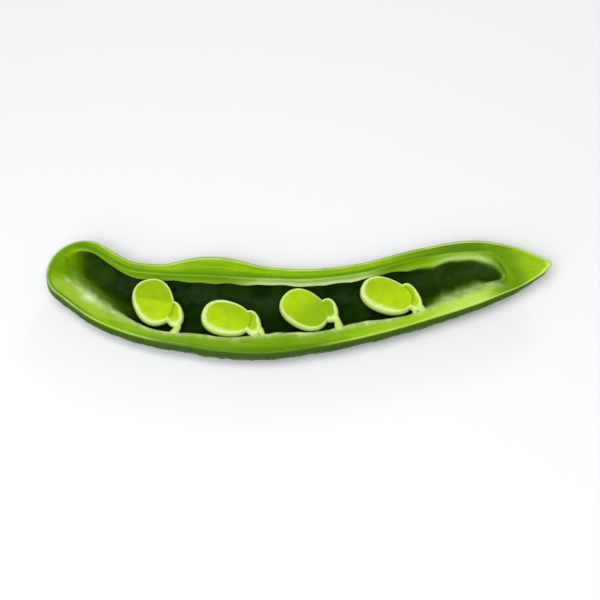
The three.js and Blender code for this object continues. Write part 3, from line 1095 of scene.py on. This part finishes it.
def seed_material(colours):
    """The kernel's moist face, its pale coat, and the stalk, by the marks on the mesh."""
    material, tree, shader = new_material("seed flesh and coat")
    place = tree.add("ShaderNodeTexCoord").outputs["Object"]
    height = tree.add("ShaderNodeSeparateXYZ", {"Vector": place}).outputs["Z"]
    mottle = mottled(tree, place, 600.0, 2600.0)
    cloud = mottle["Cloud"]
    kernel = tree.mix(tree.times(cloud, 0.25), colours.kernel, colours.kernel_deep)
    kernel = tree.mix(tree.mark("shaded_part"), kernel, colours.kernel_deep)
    coat = tree.mix(tree.mark("stalk_part"), colours.coat, colours.stalk)
    coat = tree.mix(tree.span(height, *PLACES.coat_side), coat, colours.kernel_deep)
    coat = tree.mix(tree.times(cloud, 0.3), coat, colours.kernel)
    uneven = tree.math("ADD", tree.times(cloud, 1.5), mottle["Speck"])
    tree.fill(
        shader,
        {
            "Base Color": tree.mix(tree.mark("kernel_face"), coat, kernel),
            "Roughness": tree.blend(mottle["Speck"], 0.27, 0.4),
            "IOR": 1.42,
            "Subsurface Weight": 0.3,
            "Subsurface Radius": (0.7, 1.0, 0.2),
            "Subsurface Scale": 0.001,
            "Specular IOR Level": 0.2,
            "Coat Weight": 0.2,
            "Coat Roughness": 0.22,
            "Normal": tree.relief(uneven, 0.1),
        },
    )
    return material


class AddPodHalf(bpy.types.Operator):
    """Adds the half pod with its cut flesh, its hollow and its skin"""

    bl_idname = "bean.add_pod_half"
    bl_label = "Add pod half"

    def execute(self, context):
        sizes = context.scene.bean_pod_sizes
        shape = PodShape(sizes)
        pod = shape.pod
        points, marks = shape.loops()
        points = points + np.array((0, 0, sizes.cut_height / MM))
        loop = points.shape[1] - 1

        start_fresh()
        bpy.ops.mesh.primitive_grid_add(x_subdivisions=COLUMNS, y_subdivisions=loop, size=1)
        piece = context.object
        mesh = piece.data
        grid = coordinates(mesh)
        column = np.rint((grid[:, 0] + 0.5) * COLUMNS).astype(int)
        row = np.rint((grid[:, 1] + 0.5) * loop).astype(int)
        placed = points[column, row]
        set_coordinates(mesh, placed * MM)
        for key, values in marks.items():
            add_mark(mesh, key, values[column, row])
        travelled = np.linalg.norm(np.diff(pod.base, axis=0), axis=1).cumsum()
        travelled = np.concatenate(([0], travelled))[column]
        away = ((placed[:, :2] - pod.base[column]) * pod.across[column]).sum(axis=1)
        add_direction_mark(mesh, "straight", np.column_stack((travelled, away, placed[:, 2])) * MM)

        bpy.ops.object.mode_set(mode="EDIT")
        bpy.ops.mesh.select_all(action="SELECT")
        bpy.ops.mesh.remove_doubles(threshold=2e-7)
        bpy.ops.mesh.normals_make_consistent(inside=False)
        bpy.ops.object.mode_set(mode="OBJECT")

        self.roughen(piece, sizes)
        material = pod_material(context.scene.bean_pod_colours)
        finish_piece(piece, "pod_half_skin", "root", "pod_flesh", material, "pod_half")
        return {"FINISHED"}

    def roughen(self, piece, sizes):
        """Pebbles the margins, and makes the skin and the lining softly uneven."""
        mesh = piece.data
        place = coordinates(mesh) / MM
        below = sizes.cut_height / MM - place[:, 2]
        values = np.zeros(len(mesh.vertices), np.float32)
        mesh.attributes["skin_side"].data.foreach_get("value", values)
        off_table = smooth(0.05, 1.2, place[:, 2])
        skin = values * off_table * smooth(0.1, 0.9, below)
        margins = skin * smooth(1.6, 2.8, below) * smooth(6.0, 4.0, below)
        mesh.attributes["lining"].data.foreach_get("value", values)
        lining = values.copy()

        pebbles = pebble_texture("margin pebbles", PEBBLE_CELLS)
        displace(piece, pebbles, -sizes.pebble_height, weigh(piece, "margins", margins), 0.4)
        group = weigh(piece, "skin", skin)
        crumple(piece, "skin swells", SKIN_SWELLS, group)
        crumple(piece, "skin grain", SKIN_GRAIN, group)
        crumple(piece, "lining folds", LINING_FOLDS, weigh(piece, "lining", lining))


def outline_radius(angle, long, wide, blunt):
    """How far a seed's outline is from its middle, at an angle from its length."""
    width = wide * (1 - blunt * np.cos(angle))
    along = np.abs(np.cos(angle) / long) ** SLIT_FACE.fullness
    across = np.abs(np.sin(angle) / width) ** SLIT_FACE.fullness
    return (along + across) ** (-1 / SLIT_FACE.fullness)


def apart_from(xy, outline):
    """Headings and distances of points from the middle of an outline."""
    apart = xy - np.array(outline[:2])
    return np.arctan2(apart[:, 1], apart[:, 0]), np.hypot(apart[:, 0], apart[:, 1])


def inside_outline(xy, outline, blunt):
    """How far points lie inside an outline, in millimetres, less than 0 outside it."""
    heading, distance = apart_from(xy, outline)
    long, wide, turn = outline[2:]
    return outline_radius(heading - math.radians(turn), long, wide, blunt) - distance


def beside(heading, outline, neighbour):
    """1 where a heading from one body's middle points at the other body, and 0 away from there."""
    toward = math.atan2(neighbour[1] - outline[1], neighbour[0] - outline[0])
    return bump(np.angle(np.exp(1j * (heading - toward))), SLIT_FACE.joint)


def coat_width(heading, coat, joined):
    """The coat's width on the cut face, which is all but gone where body and cap are joined."""
    least, most, widest = coat
    lobe = (0.5 + 0.5 * np.cos(heading - math.radians(widest))) ** 1.5
    return (least + (most - least) * lobe) * (1 - joined) + SLIT_FACE.joint_coat * joined


def slit_bodies(seed):
    """A seed's body and its cap: each with the other beside it, its bluntness and its coat."""
    return (seed.face, seed.cap, seed.blunt, seed.coat), (seed.cap, seed.face, 0.0, CAP_COAT)


def add_slit_body(outline, neighbour, blunt, coat, depth, sizes):
    """A plump body with a flat slit face: a domed middle, a groove and the coat's raised ring."""
    x, y, long, wide, turn = outline
    bpy.ops.mesh.primitive_uv_sphere_add(segments=128, ring_count=96, radius=1)
    mesh = bpy.context.object.data
    ball = coordinates(mesh)
    fall = np.arccos(np.clip(ball[:, 2], -1, 1))
    angle = np.arctan2(ball[:, 1], ball[:, 0])
    heading = angle + math.radians(turn)
    joined = beside(heading, outline, neighbour)
    radius = outline_radius(angle, long, wide, blunt)
    width = coat_width(heading, coat, joined)

    share = np.clip(fall / (math.pi / 2), 0, 1)
    inward = (1 - share) * radius
    rounding = SLIT_FACE.rounding
    lost = rounding - np.sqrt(np.maximum(rounding**2 - np.maximum(rounding - inward, 0) ** 2, 0))
    kernel = smooth(width - 0.14, width + 0.12, inward)
    face = -lost * (1 - joined) - sizes.coat_rise / MM * np.maximum(kernel, joined)
    face -= SLIT_FACE.groove * bump(inward - width, SLIT_FACE.groove_spread) * (1 - joined)
    face += sizes.dome / MM * kernel * (1 - share**2)

    under = np.clip(fall / (math.pi / 2) - 1, 0, 1) * math.pi / 2
    side = np.cos(under) ** 0.8
    bulge = 0.22 * bump(under - 0.3, 0.25)
    down = np.sin(under) ** 0.9
    on_face = fall <= math.pi / 2 + 1e-6
    reach = np.where(on_face, share * radius, side * radius + bulge * np.minimum(under * 8, 1))
    z = np.where(on_face, face, -rounding - (depth - rounding) * down)
    placed = np.column_stack((x + reach * np.cos(heading), y + reach * np.sin(heading), z))
    set_coordinates(mesh, placed)
    return bpy.context.object


def add_stalk(points):
    """A thin curved stalk through points, each with its own thickness."""
    bpy.ops.curve.primitive_nurbs_path_add()
    curve = bpy.context.object
    curve.data.splines.clear()
    spline = curve.data.splines.new("NURBS")
    ends = [points[0], *points, points[-1]]
    spline.points.add(len(ends) - 1)
    for target, (x, y, z, thickness) in zip(spline.points, ends, strict=True):
        target.co = (x, y, z, 1.0)
        target.radius = thickness
    spline.order_u = 3
    spline.use_endpoint_u = True
    spline.resolution_u = 12
    curve.data.bevel_depth = 1.0
    curve.data.bevel_resolution = 6
    curve.data.use_fill_caps = True
    bpy.ops.object.convert(target="MESH")
    return bpy.context.object


class AddSeeds(bpy.types.Operator):
    """Adds the four slit seeds, each grown together with its cap and its stalk"""

    bl_idname = "bean.add_seeds"
    bl_label = "Add seeds"

    def execute(self, context):
        sizes = context.scene.bean_seed_sizes
        cut_height = context.scene.bean_pod_sizes.cut_height
        material = seed_material(context.scene.bean_seed_colours)
        for number, seed in enumerate(SEEDS, 1):
            start_fresh()
            body, cap = slit_bodies(seed)
            parts = [
                add_slit_body(*body, sizes.depth / MM, sizes),
                add_slit_body(*cap, sizes.cap_depth / MM, sizes),
                *(add_stalk(points) for points in seed.stalks),
            ]
            for part in parts:
                part.select_set(True)
            context.view_layer.objects.active = parts[0]
            bpy.ops.object.join()
            piece = context.object
            self.grow_together(piece, sizes)
            self.mark_parts(piece, seed)
            placed = coordinates(piece.data)
            placed[:, 2] += (cut_height - sizes.drop) / MM
            set_coordinates(piece.data, placed * MM)
            name = f"seed_{number}"
            finish_piece(piece, f"slit_{name}", "root", "seed_flesh", material, name)
        return {"FINISHED"}

    def grow_together(self, piece, sizes):
        """Fuses the joined bodies into one skin and softens where they meet."""
        bpy.ops.object.modifier_add(type="REMESH")
        fuse = piece.modifiers[-1]
        fuse.mode = "VOXEL"
        fuse.voxel_size = sizes.grain / MM
        bpy.ops.object.modifier_apply(modifier=fuse.name)
        bpy.ops.object.modifier_add(type="SMOOTH")
        soften = piece.modifiers[-1]
        soften.factor = 0.5
        soften.iterations = 3
        bpy.ops.object.modifier_apply(modifier=soften.name)

    def mark_parts(self, piece, seed):
        """Says where the kernel's face, its shaded part and the stalk are."""
        place = coordinates(piece.data)
        xy = place[:, :2]
        kernel = np.zeros(len(place))
        outside = np.full(len(place), -9.0)
        for outline, neighbour, blunt, coat in slit_bodies(seed):
            heading = apart_from(xy, outline)[0]
            inward = inside_outline(xy, outline, blunt)
            width = coat_width(heading, coat, beside(heading, outline, neighbour))
            kernel = np.maximum(kernel, smooth(width - 0.16, width + 0.2, inward))
            outside = np.maximum(outside, inward)
        in_seed = inside_outline(xy, seed.face, seed.blunt)
        in_cap = inside_outline(xy, seed.cap, 0.0)
        joint = bump(in_seed, 0.2) * smooth(0.1, 0.5, in_cap)
        heading, out, soft, strength = seed.shade
        heading = math.radians(heading)
        toward = np.array((math.cos(heading), math.sin(heading)))
        past = (xy - np.array(seed.face[:2])) @ toward - out
        add_mark(piece.data, "kernel_face", kernel * smooth(-1.0, -0.6, place[:, 2]))
        add_mark(piece.data, "stalk_part", smooth(0.1, -0.4, outside))
        shaded = np.maximum(strength * smooth(-soft, soft, past), joint)
        add_mark(piece.data, "shaded_part", shaded)


class AddStage(bpy.types.Operator):
    """Adds the camera, the plain floor and the soft studio light"""

    bl_idname = "bean.add_stage"
    bl_label = "Add stage"

    def execute(self, context):
        look = context.scene.bean_stage
        target = np.array(STAGE_TARGET)
        back = np.array((0.0, -math.cos(look.elevation), math.sin(look.elevation)))
        bpy.ops.object.camera_add(location=target + back * look.distance)
        camera = context.object
        camera.name = "photo_view"
        camera.rotation_euler = (math.pi / 2 - look.elevation, 0.0, 0.0)
        camera.data.lens = LENS
        camera.data.clip_start = 0.01
        camera.data.clip_end = 20.0
        context.scene.camera = camera

        start_fresh()
        bpy.ops.mesh.primitive_plane_add(size=FLOOR_SIZE, location=(0.0, 0.0, 0.0))
        floor = context.object
        floor.name = "stage_floor"
        material, tree, shader = new_material("plain floor")
        finish = {"Base Color": look.floor, "Roughness": 0.6, "Specular IOR Level": 0.2}
        tree.fill(shader, finish)
        floor.data.materials.append(material)

        for side, (location, size) in LIGHTS.items():
            self.add_light(f"{side}_light", location, size, getattr(look, f"{side}_power"))
        self.light_room(context, look)
        context.scene.view_settings.view_transform = "Standard"
        return {"FINISHED"}

    def light_room(self, context, look):
        """A pale room that gives soft light, and is seen as bright as the floor."""
        world = context.scene.world or bpy.data.worlds.new("room")
        context.scene.world = world
        world.use_nodes = True
        tree = Tree(world.node_tree)
        light = world.node_tree.nodes["Background"]
        tree.fill(light, {"Color": (1.0, 1.0, 1.0), "Strength": look.surroundings})
        seen = tree.add("ShaderNodeBackground", {"Color": (0.93, 0.94, 0.95), "Strength": 1.0})
        looked_at = tree.add("ShaderNodeLightPath").outputs["Is Camera Ray"]
        inputs = {0: looked_at, 1: light.outputs[0], 2: seen.outputs[0]}
        both = tree.add("ShaderNodeMixShader", inputs)
        tree.put(world.node_tree.nodes["World Output"].inputs["Surface"], both.outputs[0])

    def add_light(self, name, location, size, power):
        aim = Vector(location).to_track_quat("Z", "Y").to_euler()
        bpy.ops.object.light_add(type="AREA", location=location, rotation=aim)
        light = bpy.context.object
        light.name = name
        light.data.size = size
        light.data.energy = power


class BeanPanel(bpy.types.Panel):
    """Lists the pod's sizes, colours and pieces"""

    bl_idname = "BEAN_PT_pod"
    bl_label = "Slit flat bean pod"
    bl_space_type = "VIEW_3D"
    bl_region_type = "UI"
    bl_category = "Bean"

    def draw(self, context):
        for operator in OPERATORS:
            self.layout.operator(operator.bl_idname)
        for name, group in PROPERTY_GROUPS.items():
            box = self.layout.box()
            for key in group.__annotations__:
                box.prop(getattr(context.scene, name), key)


OPERATORS = (AddStage, AddPodHalf, AddSeeds)
PROPERTY_GROUPS = {
    "bean_pod_sizes": PodSizes,
    "bean_pod_colours": PodColours,
    "bean_seed_sizes": SeedSizes,
    "bean_seed_colours": SeedColours,
    "bean_stage": StageLook,
}


def register():
    for group in PROPERTY_GROUPS.values():
        bpy.utils.register_class(group)
    for name, group in PROPERTY_GROUPS.items():
        setattr(bpy.types.Scene, name, bpy.props.PointerProperty(type=group))
    for operator in OPERATORS:
        bpy.utils.register_class(operator)
    bpy.utils.register_class(BeanPanel)


def unregister():
    bpy.utils.unregister_class(BeanPanel)
    for operator in reversed(OPERATORS):
        bpy.utils.unregister_class(operator)
    for name, group in reversed(PROPERTY_GROUPS.items()):
        delattr(bpy.types.Scene, name)
        bpy.utils.unregister_class(group)


def main():
    register()
    bpy.ops.bean.add_stage()
    bpy.ops.bean.add_pod_half()
    bpy.ops.bean.add_seeds()


if __name__ == "__main__":
    main()
